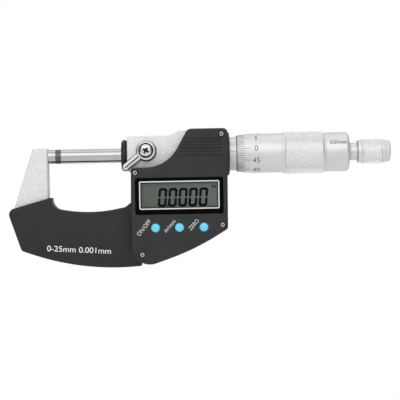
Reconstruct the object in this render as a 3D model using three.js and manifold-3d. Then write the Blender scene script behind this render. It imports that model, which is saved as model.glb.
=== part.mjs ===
// Digital outside micrometer, 0-25 mm, closed at zero.
// Millimetres. X runs along the spindle towards the ratchet, Z is up, and the display faces -Y.
// The shapes are drawn from the closed measuring faces on the spindle axis; the exported group then
// moves them so that the origin is the middle of the bow's grip, under the middle of the measuring range.
import * as THREE from "three";
import { mergeVertices } from "three/addons/utils/BufferGeometryUtils.js";
import Module from "manifold-3d";

const wasm = await Module();
wasm.setup();

// ---- driving dimensions ----
const RANGE = 25; // measuring range
const SPINDLE_R = 3.25;
const TIP_T = 1.3; // thickness of each carbide measuring face
const RUN_GAP = 0.07; // radial clearance of the spindle in its bushes
const GAP = 0.15; // clearance between fixed pieces that sit in each other
const GRIP_CENTRE_Z = -37.5; // middle of the bow, below the spindle axis

const BOW_T = 9.5; // thickness of the bow and arm
const HEAD_T = 16; // thickness of the head and tail blocks
const GRIP_T = 14; // over both grip shells
const HOUSING_T = 26; // over both housing covers
const HOUSING_WALL = 1.5;
const FACE_WALL = 1.8; // thickness of the covers' large faces

const ARM_X = -4.7; // inner face of the anvil arm
const HEAD_X = 31.6; // inner face of the spindle head
const HEAD_END_X = 60.2;
const TAIL_X = 71;
const TAIL_END_X = 74.6;
const COLLAR_X = 28.9; // front of the seal collar
const BARREL_X = 77.6; // where the graduated sleeve leaves the housing
const SLEEVE_R = 7.6;
const SLEEVE_END_X = 116;
const THIMBLE_X = 80.9;
const THIMBLE_R = 8.9;
const KNURL_R = 9.7;
const THIMBLE_END_X = 132;
const NECK_END_X = 135.6;
const NECK_R = 3.95;
const KNOB_X = 135.8;
const KNOB_END_X = 150.5;
const KNOB_R = 5.7;
const POST_R = 1.6;
const RATCHET_TEETH = 12;
const TOOTH_H = 0.4;

const STATOR_X = 60.3;
const ROTOR_X = 62.4;
const ROTOR_R = 8.9;
const BUSH_END_X = 68;
const KEYWAY_X = 38; // the keyway must still hold the key when the spindle is fully open
const KEY_X = 65.5;

const LOCK = { x: 40, z: 1.8 };
const LEVER_TIP = { x: 30.9, z: -5.5 };
const HUB_R = 4.4;

const WINDOW = { x0: 35, x1: 74.3, z0: -26.9, z1: -10.6 };
const GLASS = { x0: 36.75, x1: 72.6, z0: -24.7, z1: -12.05 };
const RIM_WIDTH = 0.75;
const BUTTON_Z = -32.9;
const BUTTONS = { button_power: 43.8, button_unit: 54.5, button_zero: 65.4 };
const BUTTON_R = 1.95;
const BOARD_Y = -8.4; // front face of the circuit board
const COVER_SCREWS = [[35, -8.2], [37.7, -44.9], [73.9, 8.6], [73.8, -32.1]];
const BATTERY = { x: 50, z: -31, r: 5.8, t: 5.4 };
const CAP_R = 7.25;

const FINE = 32; // facets round a large turned part
const MID = 24;
const COARSE = 12;

const FACE_Y = -HOUSING_T / 2;
const INNER_Y = FACE_Y + FACE_WALL;

// ---- materials ----
function material(color, roughness, metalness) {
  return new THREE.MeshStandardMaterial({ color, roughness, metalness });
}
const castPaint = material(0xdedede, 0.55, 0.3);
const steel = material(0xb9bbbd, 0.25, 1);
const satinChrome = material(0xd9dadb, 0.35, 1);
const chrome = material(0xe8e8e8, 0.08, 1);
const carbide = material(0x55575a, 0.4, 0.9);
const brass = material(0xb89a5a, 0.35, 1);
const darkPlastic = material(0x393939, 0.6, 0);
const blackGloss = material(0x0a0b0a, 0.15, 0);
const blackRubber = material(0x161616, 0.8, 0);
const whitePaint = material(0xe6e7e4, 0.4, 0);
const liquidCrystal = material(0x7d877b, 0.2, 0);
const bluePlastic = material(0x6fd6fa, 0.4, 0);
const boardGreen = material(0x1f5c38, 0.5, 0);
const chipBlack = material(0x1a1a1a, 0.6, 0);
const copper = material(0xc08a4a, 0.35, 1);

// ---- shape helpers ----
// A closed solid of a geometry, its faces turned outwards.
function solidOf(geometry) {
  const bare = geometry.index ? geometry.toNonIndexed() : geometry.clone();
  bare.deleteAttribute("normal");
  bare.deleteAttribute("uv");
  const merged = mergeVertices(bare, 1e-4);
  const position = merged.getAttribute("position");
  const index = Uint32Array.from(merged.index.array);
  const a = new THREE.Vector3();
  const b = new THREE.Vector3();
  const c = new THREE.Vector3();
  let volume = 0;
  for (let i = 0; i < index.length; i += 3) {
    a.fromBufferAttribute(position, index[i]);
    b.fromBufferAttribute(position, index[i + 1]);
    c.fromBufferAttribute(position, index[i + 2]);
    volume += a.dot(b.cross(c));
  }
  if (volume < 0) {
    for (let i = 0; i < index.length; i += 3) {
      [index[i + 1], index[i + 2]] = [index[i + 2], index[i + 1]];
    }
  }
  return new wasm.Manifold(
    new wasm.Mesh({ numProp: 3, vertProperties: position.array, triVerts: index }),
  );
}

function join(...solids) {
  return solids.reduce((whole, next) => whole.add(next));
}

function cut(solid, ...tools) {
  return tools.reduce((left, tool) => left.subtract(tool), solid);
}

// A turned solid about the X axis. The profile is a closed loop of [x, radius].
function turned(profile, facets = FINE) {
  const loop = profile.map(([x, r]) => new THREE.Vector2(r, x));
  loop.push(loop[0].clone());
  return solidOf(new THREE.LatheGeometry(loop, facets).rotateZ(-Math.PI / 2));
}

// A ring about the X axis, or a plain cylinder when inner is 0.
function ring(x0, x1, outer, inner = 0, facets = FINE) {
  return turned([[x0, inner], [x0, outer], [x1, outer], [x1, inner]], facets);
}

// The same along Y, on the axis through (x, z).
function post(x, z, y0, y1, outer, inner = 0, facets = COARSE) {
  const geometry = ring(y0, y1, outer, inner, facets);
  return geometry.rotate([0, 0, 90]).translate([x, 0, z]);
}

function box(x0, x1, y0, y1, z0, z1) {
  const geometry = new THREE.BoxGeometry(x1 - x0, y1 - y0, z1 - z0);
  return solidOf(geometry.translate((x0 + x1) / 2, (y0 + y1) / 2, (z0 + z1) / 2));
}

// The points of an outline given by its corners [x, z, fillet radius], each fillet a true arc,
// the whole outline moved outwards by a distance (inwards when negative).
function rounded(corners, grow = 0) {
  const points = [];
  const sharp = corners.map(([x, z]) => new THREE.Vector2(x, z));
  const turn = THREE.ShapeUtils.isClockWise(sharp) ? -1 : 1;
  const at = (i) => sharp[(i + sharp.length) % sharp.length];
  const along = (i) => at(i + 1).clone().sub(at(i)).normalize();
  const outwards = (i) => new THREE.Vector2(along(i).y, -along(i).x).multiplyScalar(turn);
  const moved = sharp.map((corner, i) => {
    const normal = outwards(i - 1).add(outwards(i)).normalize();
    return corner.clone().addScaledVector(normal, grow / normal.dot(outwards(i)));
  });
  corners.forEach(([, , fillet = 0], i) => {
    const corner = moved[i];
    const convex = turn * along(i - 1).cross(along(i)) > 0;
    const radius = fillet ? fillet + (convex ? grow : -grow) : 0;
    if (radius <= 0.03) {
      points.push(corner);
      return;
    }
    const inward = along(i - 1).negate();
    const outward = along(i);
    const half = inward.angleTo(outward) / 2;
    const reach = radius / Math.tan(half);
    const centre = inward.clone().add(outward).setLength(radius / Math.sin(half)).add(corner);
    const start = inward.multiplyScalar(reach).add(corner).sub(centre);
    const end = outward.multiplyScalar(reach).add(corner).sub(centre);
    const sweep = Math.atan2(start.cross(end), start.dot(end));
    const steps = Math.ceil(Math.abs(sweep) / (radius > 20 ? 0.12 : 0.4));
    for (let k = 0; k <= steps; k++) {
      points.push(start.clone().rotateAround(new THREE.Vector2(), (sweep * k) / steps).add(centre));
    }
  });
  return points;
}

// An outline in the XZ plane, extruded from y0 to y1.
function plate(points, y0, y1) {
  const geometry = new THREE.ExtrudeGeometry(new THREE.Shape(points), {
    depth: y1 - y0,
    bevelEnabled: false,
  });
  return solidOf(geometry.rotateX(Math.PI / 2).translate(0, y1, 0));
}

// A compression spring about the X axis, with square-cut ends.
function coilSpring(x0, x1, radius, wire, turns) {
  class Helix extends THREE.Curve {
    getPoint(t, target = new THREE.Vector3()) {
      const angle = 2 * Math.PI * turns * t;
      return target.set(
        x0 + wire + (x1 - x0 - 2 * wire) * t,
        radius * Math.cos(angle),
        radius * Math.sin(angle),
      );
    }
  }
  const section = new THREE.Shape(new THREE.EllipseCurve(0, 0, wire, wire).getPoints(5).slice(0, 5));
  const steps = Math.round(10 * turns);
  return solidOf(
    new THREE.ExtrudeGeometry(section, { steps, bevelEnabled: false, extrudePath: new Helix() }),
  );
}

const part = new THREE.Group();
part.name = "outside_micrometer";
const drawn = new THREE.Group();
drawn.position.set(-RANGE / 2, 0, -GRIP_CENTRE_Z);
part.add(drawn);

function add(name, solid, finish) {
  const { numProp, vertProperties, triVerts } = solid.getMesh();
  const position = new Float32Array((vertProperties.length / numProp) * 3);
  for (let i = 0; i < position.length / 3; i++) {
    position.set(vertProperties.subarray(i * numProp, i * numProp + 3), i * 3);
  }
  const geometry = new THREE.BufferGeometry();
  geometry.setAttribute("position", new THREE.BufferAttribute(position, 3));
  geometry.setIndex(new THREE.BufferAttribute(triVerts, 1));
  geometry.computeVertexNormals();
  const mesh = new THREE.Mesh(geometry, finish);
  mesh.name = name;
  drawn.add(mesh);
}

// ---- outlines, as corners [x, z, fillet radius] ----
const housingOutline = [
  [32.5, -52.75, 8.5], [61.7, -42.7, 110], [76.2, -33.8, 1.6], [76.4, -10.3, 0.2], [76.8, -9.8, 0.2],
  [76.8, 11.2, 2.3], [58.85, 11.2, 3], [49.3, -5.9, 16.4], [33.2, -5.9, 1.3],
];
const gripOutline = [
  [-3.25, -18.5, 0.25], [-23.15, -23.98, 2.9], [-16.9, -42.35, 2.2], [11.3, -52.1, 115], [38.5, -49.9, 1.5],
  [38.5, -16.5], [30.2, -23.35, 2], [14, -26.5, 66], [-3.25, -23.3, 5],
];
const frameOutline = [
  [ARM_X, 3.8, 0.4], [-11.3, 3.8, 1], [-20.9, -26, 2], [-15.9, -41.4, 2], [11.3, -50.8, 90],
  [35.3, -48.6, 1.5], [39.5, -44.6, 2], [46, -44.9, 3], [60, -39.6, 2], [60, -21, 2], [TAIL_END_X, -21, 1],
  [TAIL_END_X, 8.8, 0.5], [TAIL_X, 8.8, 0.5], [TAIL_X, -9.8, 1], [HEAD_END_X, -9.8, 1],
  [HEAD_END_X, 9], [58.8, 9], [58.8, 10.8], [55.2, 10.8, 2], [50.6, 8.5, 6], [HEAD_X, 8.5, 0.5],
  [HEAD_X, -7.2, 1.5],
  [35.2, -8.8, 1], [35.2, -20.6, 1], [30.2, -24.9, 3], [14, -27.9, 66], [ARM_X, -24.6, 5.5],
];
const headOutline = [
  [HEAD_END_X, 9], [58.8, 9], [58.8, 10.8], [55.2, 10.8, 2], [50.6, 8.5, 6], [HEAD_X, 8.5, 0.5],
  [HEAD_X, -7.2, 1.5], [36, -9, 1], [HEAD_END_X, -9],
];
const tailOutline = [
  [TAIL_END_X, 8.8, 0.5], [TAIL_X, 8.8, 0.5], [TAIL_X, -9.8], [TAIL_END_X, -9.8],
];

// The space that the frame takes, with a clearance, for cutting it out of what is round it.
function frameSpace(clearance) {
  return join(
    plate(rounded(frameOutline, clearance), -BOW_T / 2 - clearance, BOW_T / 2 + clearance),
    plate(rounded(headOutline, clearance), -HEAD_T / 2 - clearance, HEAD_T / 2 + clearance),
    plate(rounded(tailOutline, clearance), -HEAD_T / 2 - clearance, HEAD_T / 2 + clearance),
  );
}

function housingSpace(clearance) {
  return plate(rounded(housingOutline, clearance), -HOUSING_T, HOUSING_T);
}

// ---- frame and what is fixed in it ----
function makeFrame() {
  const bossHoles = COVER_SCREWS.map(([x, z]) => post(x, z, -HEAD_T, HEAD_T, 2.4));
  const contactSlot = box(BATTERY.x + 6.9, BATTERY.x + 8.2, -BOW_T, BOW_T, BATTERY.z - 2.3, BATTERY.z + 2.3);
  add("frame", cut(
    frameSpace(0),
    ring(-10.6, ARM_X + 1, SPINDLE_R + 0.05, 0, MID),
    ring(HEAD_X - 1, TAIL_X, SPINDLE_R + 0.4, 0, MID),
    ring(HEAD_X - 1, 36.6, 4.6, 0, MID),
    ring(46, HEAD_END_X + 1, 4.6, 0, MID),
    ring(TAIL_X - 1, TAIL_END_X + 1, 5.6, 0, MID),
    post(LOCK.x, LOCK.z, -HEAD_T, -1, 2.75, 0, MID),
    contactSlot,
    ...bossHoles,
  ), castPaint);
}

function makeAnvil() {
  add("anvil", ring(-10.5, -TIP_T, SPINDLE_R, 0, MID), steel);
  add("anvil_tip", ring(-TIP_T, 0, SPINDLE_R, 0, MID), carbide);
}

function makeGrips() {
  const room = join(frameSpace(GAP), housingSpace(0.25));
  const keep = box(-30, 32.4, -20, 20, -60, 0);
  const tailEnd = box(30, 36.9, -20, 20, -60, -40);
  for (const [name, y0, y1] of [["grip_front", -GRIP_T / 2, -0.05], ["grip_back", 0.05, GRIP_T / 2]]) {
    const shell = cut(plate(rounded(gripOutline), y0, y1), room);
    add(name, shell.intersect(join(keep, tailEnd)), darkPlastic);
  }
}

function makeSpindleGuide() {
  add("seal_collar", turned([
    [COLLAR_X, 3.6], [COLLAR_X, 6], [COLLAR_X + 1, 7.15], [HEAD_X - 0.1, 7.15],
    [HEAD_X - 0.1, 5.1], [COLLAR_X + 1, 5.1], [COLLAR_X + 1, 3.6],
  ], MID), blackGloss);
  add("spindle_wiper", ring(COLLAR_X + 1.1, HEAD_X - 0.2, 5, SPINDLE_R + RUN_GAP, MID), blackRubber);
  add("front_bush", ring(HEAD_X, 36.5, 4.5, SPINDLE_R + RUN_GAP, MID), brass);
  add("rear_bush", ring(46.1, HEAD_END_X, 4.5, SPINDLE_R + RUN_GAP, MID), brass);
}

function makeBarrel() {
  add("inner_barrel", turned([
    [TAIL_X + 0.1, 3.4], [TAIL_X + 0.1, 5.5], [BARREL_X - 0.05, 5.5], [BARREL_X - 0.05, 6.65], [106, 6.65],
    [106, 5.6], [117, 5.6], [117, 3.2], [104, 3.2], [104, 3.4],
  ], MID), steel);
  add("sleeve", ring(BARREL_X, SLEEVE_END_X, SLEEVE_R, 6.8), satinChrome);
  const spannerSlots = [0, 90].map((angle) => box(113.5, 116, -8, 8, -0.6, 0.6).rotate([angle, 0, 0]));
  add("adjusting_nut", cut(ring(107, 115, 6.6, 5.75, MID), ...spannerSlots), steel);
  add("end_collar", turned([
    [76.95, 5.8], [76.95, 9.6], [77.2, 9.6], [77.55, 9.1], [77.55, 5.8],
  ]), darkPlastic);
}

// ---- housing and electronics ----
// One half of the housing, its large face towards side * Y.
function coverShell(side) {
  const ys = (near, far) => (side < 0 ? [-far, -near] : [near, far]);
  const [y0, y1] = ys(0.05, HOUSING_T / 2);
  const [c0, c1] = ys(-1, HOUSING_T / 2 - FACE_WALL);
  const cavity = plate(rounded(housingOutline, -HOUSING_WALL), c0, c1);
  const shell = cut(plate(rounded(housingOutline), y0, y1), cavity, frameSpace(GAP), ring(74, 80, 5.8, 0, MID));
  const bosses = COVER_SCREWS.map(([x, z]) => post(x, z, ...ys(0.05, HOUSING_T / 2 - FACE_WALL), 2.1));
  return join(shell, ...bosses.map((boss) => boss.intersect(plate(rounded(housingOutline), y0, y1))));
}

function makeHousing() {
  const deep = 0.1;
  const windowSeat = box(
    WINDOW.x0 - deep, WINDOW.x1 + deep, FACE_Y - 1, FACE_Y + 1.3, WINDOW.z0 - deep, WINDOW.z1 + deep,
  );
  const glassOpening = box(GLASS.x0 - 0.2, GLASS.x1 + 0.2, FACE_Y - 1, 0, GLASS.z0 - 0.2, GLASS.z1 + 0.2);
  const buttonHoles = Object.values(BUTTONS).map(
    (x) => post(x, BUTTON_Z, FACE_Y - 1, -5, BUTTON_R + 0.2, 0, 20),
  );
  const screwHoles = COVER_SCREWS.flatMap(([x, z]) => [
    post(x, z, FACE_Y - 1, 1, 0.9, 0, 8),
    post(x, z, FACE_Y - 1, FACE_Y + 1.1, 1.35),
  ]);
  const keepBoard = box(36, 73, INNER_Y, 0, -36, -9.2);
  const front = cut(coverShell(-1), windowSeat, glassOpening, ...buttonHoles, ...screwHoles);
  add("housing_front", cut(front, keepBoard.intersect(boardSpace(0.2))), darkPlastic);

  const well = post(BATTERY.x, BATTERY.z, BOW_T / 2 + 0.2, HOUSING_T / 2 - 0.5, 8.6, 0, MID);
  const back = cut(
    join(coverShell(1), well),
    post(BATTERY.x, BATTERY.z, 0, 11.2, BATTERY.r + 0.35, 0, MID),
    post(BATTERY.x, BATTERY.z, 10.9, HOUSING_T, CAP_R + 0.15, 0, FINE),
    box(BATTERY.x + 5, BATTERY.x + 8.4, 0, 8.2, BATTERY.z - 2.3, BATTERY.z + 2.3),
    ...COVER_SCREWS.map(([x, z]) => post(x, z, -1, 5.2, 0.9, 0, 8)),
  );
  add("housing_back", back, darkPlastic);

  COVER_SCREWS.forEach(([x, z], i) => {
    const head = post(x, z, FACE_Y + 0.15, FACE_Y + 1.05, 1.15);
    const shank = post(x, z, FACE_Y + 1, 5, 0.75, 0, 8);
    const slots = [45, 135].map(
      (angle) => box(-0.7, 0.7, -0.3, 0.35, -0.17, 0.17).rotate([0, angle, 0]).translate([x, FACE_Y + 0.15, z]),
    );
    add(`cover_screw_${i + 1}`, cut(join(head, shank), ...slots), satinChrome);
  });
}

function boardSpace(clearance) {
  const outline = [
    [35.4, -10.9], [73.9, -10.9], [73.9, -28.8], [70.4, -31], [70.4, -34.8], [62, -38.6], [38, -38.6], [35.4, -36],
  ];
  return plate(rounded(outline, clearance), BOARD_Y - clearance, BOARD_Y + 1 + clearance);
}

function makeDisplay() {
  add("display_window", box(WINDOW.x0, WINDOW.x1, FACE_Y + 0.25, FACE_Y + 1.2, WINDOW.z0, WINDOW.z1), blackGloss);
  add("display_bezel", cut(
    box(GLASS.x0 - 0.1, GLASS.x1 + 0.1, FACE_Y, FACE_Y + 0.2, GLASS.z0 - 0.1, GLASS.z1 + 0.1),
    box(
      GLASS.x0 + RIM_WIDTH, GLASS.x1 - RIM_WIDTH, FACE_Y - 1, FACE_Y + 1,
      GLASS.z0 + RIM_WIDTH, GLASS.z1 - RIM_WIDTH,
    ),
  ), whitePaint);
  add("lcd_panel", box(GLASS.x0, GLASS.x1, INNER_Y - 0.4, -9.3, GLASS.z0, GLASS.z1), liquidCrystal);
  add("lcd_connector", box(38, 71, -9.25, BOARD_Y - 0.05, GLASS.z0 + 0.3, GLASS.z0 + 1.1), blackRubber);
  add("main_board", boardSpace(0), boardGreen);
  add("controller_chip", box(49.5, 56.5, BOARD_Y - 0.85, BOARD_Y - 0.05, -30.2, -26), chipBlack);
}

function makeButtons() {
  Object.entries(BUTTONS).forEach(([name, x], i) => {
    add(name, join(
      post(x, BUTTON_Z, FACE_Y - 0.5, INNER_Y + 0.15, BUTTON_R, 0, 20),
      post(x, BUTTON_Z, INNER_Y + 0.1, INNER_Y + 0.9, 2.75, 0, 16),
      post(x, BUTTON_Z, INNER_Y + 0.8, -9.6, 1.2, 0, 8),
    ), bluePlastic);
    add(`dome_switch_${i + 1}`, turned([
      [BOARD_Y - 0.5, 0], [BOARD_Y - 0.5, 0.9], [BOARD_Y - 0.05, 2.2], [BOARD_Y - 0.05, 0],
    ], COARSE).rotate([0, 0, 90]).translate([x, 0, BUTTON_Z]), steel);
  });
}

function makeBattery() {
  const y0 = 5.3;
  add("battery", post(BATTERY.x, BATTERY.z, y0, y0 + BATTERY.t, BATTERY.r, 0, MID), steel);
  const tabX = BATTERY.x + 7.1;
  add("battery_contact_negative", join(
    box(BATTERY.x - 3, tabX + 0.3, y0 - 0.35, y0 - 0.05, BATTERY.z - 2, BATTERY.z - 0.3),
    box(tabX, tabX + 0.3, BOARD_Y + 1.05, y0 - 0.05, BATTERY.z - 2, BATTERY.z - 0.3),
  ), brass);
  add("battery_contact_positive", join(
    box(BATTERY.x + 6, BATTERY.x + 6.25, y0 + 0.5, y0 + 2.8, BATTERY.z + 0.3, BATTERY.z + 2),
    box(BATTERY.x + 6, tabX + 0.3, y0 + 0.3, y0 + 0.6, BATTERY.z + 0.3, BATTERY.z + 2),
    box(tabX, tabX + 0.3, BOARD_Y + 1.05, y0 + 0.6, BATTERY.z + 0.3, BATTERY.z + 2),
  ), brass);
  const coinSlot = box(-5.2, 5.2, 12, 14, -0.8, 0.8).rotate([0, 35, 0]).translate([BATTERY.x, 0, BATTERY.z]);
  add("battery_cap", cut(join(
    post(BATTERY.x, BATTERY.z, 11.45, HOUSING_T / 2, CAP_R, 0, FINE),
    post(BATTERY.x, BATTERY.z, 10.95, 11.5, 6, 0, FINE),
  ), coinSlot), darkPlastic);
  add("battery_cap_seal", post(BATTERY.x, BATTERY.z, 11, 11.4, 7.1, 6.1, MID), blackRubber);
}

function makeEncoder() {
  add("encoder_stator", ring(STATOR_X, STATOR_X + 1.5, 9, SPINDLE_R + 1.4, MID), boardGreen);
  add("encoder_flex", cut(
    box(60.4, 61.6, -6.6, -6.3, -14, -5),
    ring(STATOR_X - 1, STATOR_X + 3, 9.1, 0, MID),
  ), copper);
  add("rotor_preload_spring", coilSpring(BUSH_END_X + 0.1, TAIL_X - 0.1, 4.5, 0.25, 2.5), steel);
  add("rotor_disc", ring(ROTOR_X, ROTOR_X + 1.2, ROTOR_R, 4.15, MID), boardGreen);
  const keyHole = box(KEY_X - 0.6, KEY_X + 0.6, -0.6, 0.6, 0, 6);
  add("rotor_bush", cut(turned([
    [ROTOR_X - 0.3, SPINDLE_R + RUN_GAP], [ROTOR_X - 0.3, 4.1], [ROTOR_X + 1.25, 4.1],
    [ROTOR_X + 1.25, 5], [BUSH_END_X, 5], [BUSH_END_X, SPINDLE_R + RUN_GAP],
  ], MID), keyHole), brass);
  add("rotor_key", box(KEY_X - 0.5, KEY_X + 0.5, -0.5, 0.5, 2.5, 4.9), steel);
}

// ---- spindle, thimble and ratchet ----
function makeSpindle() {
  const keyway = box(KEYWAY_X, KEY_X + 2, -0.6, 0.6, 2.3, 5);
  add("spindle", cut(turned([
    [TIP_T, 0], [TIP_T, SPINDLE_R], [77, SPINDLE_R], [77.3, 3.05], [121, 3.05], [128.5, 2.9], [128.5, 1.35],
    [117.4, 1.35], [117.4, 0],
  ]), keyway), steel);
  add("spindle_tip", ring(0, TIP_T, SPINDLE_R, 0), carbide);
  add("thimble", turned([
    [THIMBLE_X, 7.75], [THIMBLE_X, 8.15], [86.7, THIMBLE_R - 0.05], [101.6, THIMBLE_R], [102.6, 9.2],
    [103.3, KNURL_R], [119.6, KNURL_R], [120.3, 9.2], [120.6, 8.7], [121.1, THIMBLE_R], [130.1, THIMBLE_R],
    [131.2, 7.4], [THIMBLE_END_X, 4.6], [THIMBLE_END_X, 1.4], [129, 1.4], [129, 3.12], [122, 3.12], [122, 7.75],
  ]), satinChrome);
}

// Sawtooth ring on a face at x, its teeth rising by side * TOOTH_H and leaning against each other.
function toothRing(x, side) {
  const width = 1.1;
  const slack = 0.04;
  const steep = side > 0 ? 0 : width;
  const gentle = side > 0 ? width : 0;
  const profile = new THREE.Shape([
    new THREE.Vector2(steep + side * slack, 0),
    new THREE.Vector2(gentle, 0),
    new THREE.Vector2(steep + side * slack, side * (TOOTH_H - slack)),
  ]);
  const teeth = [];
  for (let i = 0; i < RATCHET_TEETH; i++) {
    const geometry = new THREE.ExtrudeGeometry(profile, { depth: 1.5, bevelEnabled: false });
    // drawn as (tangent, axial) and extruded outwards: tangent to +Y, axial to +X, radius to -Z
    geometry.applyMatrix4(new THREE.Matrix4().makeBasis(
      new THREE.Vector3(0, 1, 0), new THREE.Vector3(1, 0, 0), new THREE.Vector3(0, 0, -1),
    ));
    geometry.translate(x, -width / 2, -2.4).rotateX((2 * Math.PI * i) / RATCHET_TEETH);
    teeth.push(solidOf(geometry));
  }
  return join(...teeth);
}

function makeRatchet() {
  add("ratchet_shaft", cut(join(
    turned([
      [117.6, 0], [117.6, 1.25], [THIMBLE_END_X + 0.1, 1.25], [THIMBLE_END_X + 0.1, NECK_R],
      [NECK_END_X, NECK_R], [NECK_END_X, POST_R], [147.6, POST_R], [147.6, 0.9], [142, 0.9], [142, 0],
    ], MID),
    toothRing(NECK_END_X - 0.02, 1),
  )), satinChrome);
  add("ratchet_end_screw", cut(join(
    ring(142.2, 147.8, 0.8, 0, 12),
    turned([[147.7, 0], [147.7, 2.6], [148.6, 2.6], [149, 2.2], [149, 0]], 20),
  ), box(148.4, 150, -3, 3, -0.3, 0.3)), steel);
  const lugSlots = box(135, 142, -5.1, 5.1, -0.85, 0.85);
  add("ratchet_knob", cut(turned([
    [KNOB_X, 4.75], [KNOB_X, 4.9], [137.6, 5.05], [137.8, KNOB_R], [146.7, KNOB_R], [147, 5.3], [147.3, 5.4],
    [150, 4.8], [KNOB_END_X, 4.3], [KNOB_END_X, 3.1], [147.55, 3.1], [147.55, POST_R + 0.1],
    [146.2, POST_R + 0.1], [146.2, 4.75],
  ], MID), cut(lugSlots, ring(134, 143, 4.7, 0, MID))), satinChrome);
  const back = NECK_END_X + TOOTH_H + 0.04;
  add("ratchet_clutch", join(
    cut(join(ring(back, 138.6, 4.55, 0, MID), box(back, 138.6, -4.95, 4.95, -0.7, 0.7)), ring(130, 140, POST_R + 0.15, 0, MID)),
    toothRing(back + 0.02, -1),
  ), steel);
  add("ratchet_spring", coilSpring(138.65, 146.15, 3.2, 0.35, 4.5), steel);
}

// ---- spindle lock ----
function makeLock() {
  const reach = new THREE.Vector2(LEVER_TIP.x - LOCK.x, LEVER_TIP.z - LOCK.z);
  const angle = (Math.atan2(reach.y, reach.x) * 180) / Math.PI;
  const arm = box(2.5, reach.length(), -10.6, -8.5, -1.5, 1.5);
  const lever = join(
    post(0, 0, -11.2, -8.25, HUB_R, 0, FINE),
    arm,
    post(reach.length(), 0, -10.6, -8.5, 1.5),
  );
  add("lock_lever", cut(
    lever, post(0, 0, -12, -10.2, 3.4, 0, MID), post(0, 0, -12, 0, 1.35),
  ).rotate([0, -angle, 0]).translate([LOCK.x, 0, LOCK.z]), chrome);
  const cross = [15, 105].map(
    (turn) => box(-1.4, 1.4, -12, -11.2, -0.35, 0.35).rotate([0, turn, 0]).translate([LOCK.x, 0, LOCK.z]),
  );
  const screw = turned([
    [-12, 0], [-12, 1.3], [-11.75, 2], [-11.3, 2.55], [-10.3, 2.75], [-10.3, 1.2], [-5.6, 1.2], [-5.6, 0],
  ], 24).rotate([0, 0, 90]).translate([LOCK.x, 0, LOCK.z]);
  add("lock_screw", cut(screw, ...cross), chrome);
  add("lock_stud", cut(
    post(LOCK.x, LOCK.z, -8.2, -4.9, 2.5, 0, 24), post(LOCK.x, LOCK.z, -9, -5.5, 1.3),
  ), steel);
  add("lock_shoe", cut(
    post(LOCK.x, LOCK.z, -4.6, -1.2, 2.5, 0, 24), ring(30, 50, SPINDLE_R + 0.2),
  ), brass);
}

makeFrame();
makeAnvil();
makeGrips();
makeSpindleGuide();
makeBarrel();
makeHousing();
makeDisplay();
makeButtons();
makeBattery();
makeEncoder();
makeSpindle();
makeRatchet();
makeLock();

export default part;
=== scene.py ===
"""Looks of the digital outside micrometer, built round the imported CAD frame.

Shapes are drawn in millimetres from the closed measuring faces on the spindle axis:
x towards the ratchet, y away from the viewer, z up. piece() places them on the CAD frame.
"""
import math

import bmesh
import bpy
from mathutils import Matrix, Vector


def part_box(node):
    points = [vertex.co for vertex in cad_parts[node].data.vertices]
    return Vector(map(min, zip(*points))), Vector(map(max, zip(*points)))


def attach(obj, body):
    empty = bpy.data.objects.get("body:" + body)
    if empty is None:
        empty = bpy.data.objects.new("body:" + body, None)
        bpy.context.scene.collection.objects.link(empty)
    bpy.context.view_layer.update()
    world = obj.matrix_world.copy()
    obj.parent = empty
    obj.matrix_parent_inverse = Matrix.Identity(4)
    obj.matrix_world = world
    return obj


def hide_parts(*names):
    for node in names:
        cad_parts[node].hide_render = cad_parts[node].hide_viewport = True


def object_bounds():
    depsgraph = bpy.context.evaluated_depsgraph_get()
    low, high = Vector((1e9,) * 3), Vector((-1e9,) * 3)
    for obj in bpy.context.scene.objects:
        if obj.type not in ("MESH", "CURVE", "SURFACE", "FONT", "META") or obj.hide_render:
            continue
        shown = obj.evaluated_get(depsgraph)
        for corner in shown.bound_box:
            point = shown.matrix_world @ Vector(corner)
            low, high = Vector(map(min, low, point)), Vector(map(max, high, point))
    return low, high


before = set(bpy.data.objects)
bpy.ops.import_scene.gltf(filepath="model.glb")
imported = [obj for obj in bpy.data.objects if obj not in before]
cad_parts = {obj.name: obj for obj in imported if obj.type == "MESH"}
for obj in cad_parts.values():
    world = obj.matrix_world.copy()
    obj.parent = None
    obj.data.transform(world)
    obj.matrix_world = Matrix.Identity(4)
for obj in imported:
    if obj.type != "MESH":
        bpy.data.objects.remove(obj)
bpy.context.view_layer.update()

TIP_LO, TIP_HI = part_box("spindle_tip")
AXIS = Vector((TIP_LO.x, (TIP_LO.y + TIP_HI.y) / 2, (TIP_LO.z + TIP_HI.z) / 2))
MM = 0.001


def span(node, axis):
    """A node's extent along one axis, in drawing millimetres."""
    lo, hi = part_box(node)
    return (lo[axis] - AXIS[axis]) / MM, (hi[axis] - AXIS[axis]) / MM


FACE_Y = span("housing_front", 1)[0]
BACK_Y = span("housing_back", 1)[1]
GRIP_Y = span("grip_back", 1)[1]
BOW_Y = 4.75  # half the bow's thickness
HEAD_Y = span("frame", 1)[1]
SLEEVE_X = span("sleeve", 0)[0]
THIMBLE_X = span("thimble", 0)[0]
KNOB_X, KNOB_END = span("ratchet_knob", 0)
KNOB_R = span("ratchet_knob", 2)[1]
NECK_R = 3.95
SPINDLE_R = 3.25
SLEEVE_R = 7.6
THIMBLE_BORE = 7.75
THIMBLE_R = 8.9  # behind the knurl
KNURL_X = 102.8, 119.8
KNURL_R, KNURL_DEPTH = 9.7, 0.5
KNOB_KNURL_X = 138.5, 146.3
KNOB_KNURL_DEPTH = 0.45
KNOB_BORE = 4.75
ARM_X = span("anvil", 0)[0] + 5.8
SCREWS = [[sum(span(f"cover_screw_{i}", a)) / 2 for a in (0, 2)] for i in (1, 2, 3, 4)]
BUTTONS = {n: sum(span(n, 0)) / 2 for n in ("button_power", "button_unit", "button_zero")}
BUTTON_Z = sum(span("button_unit", 2)) / 2
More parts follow.
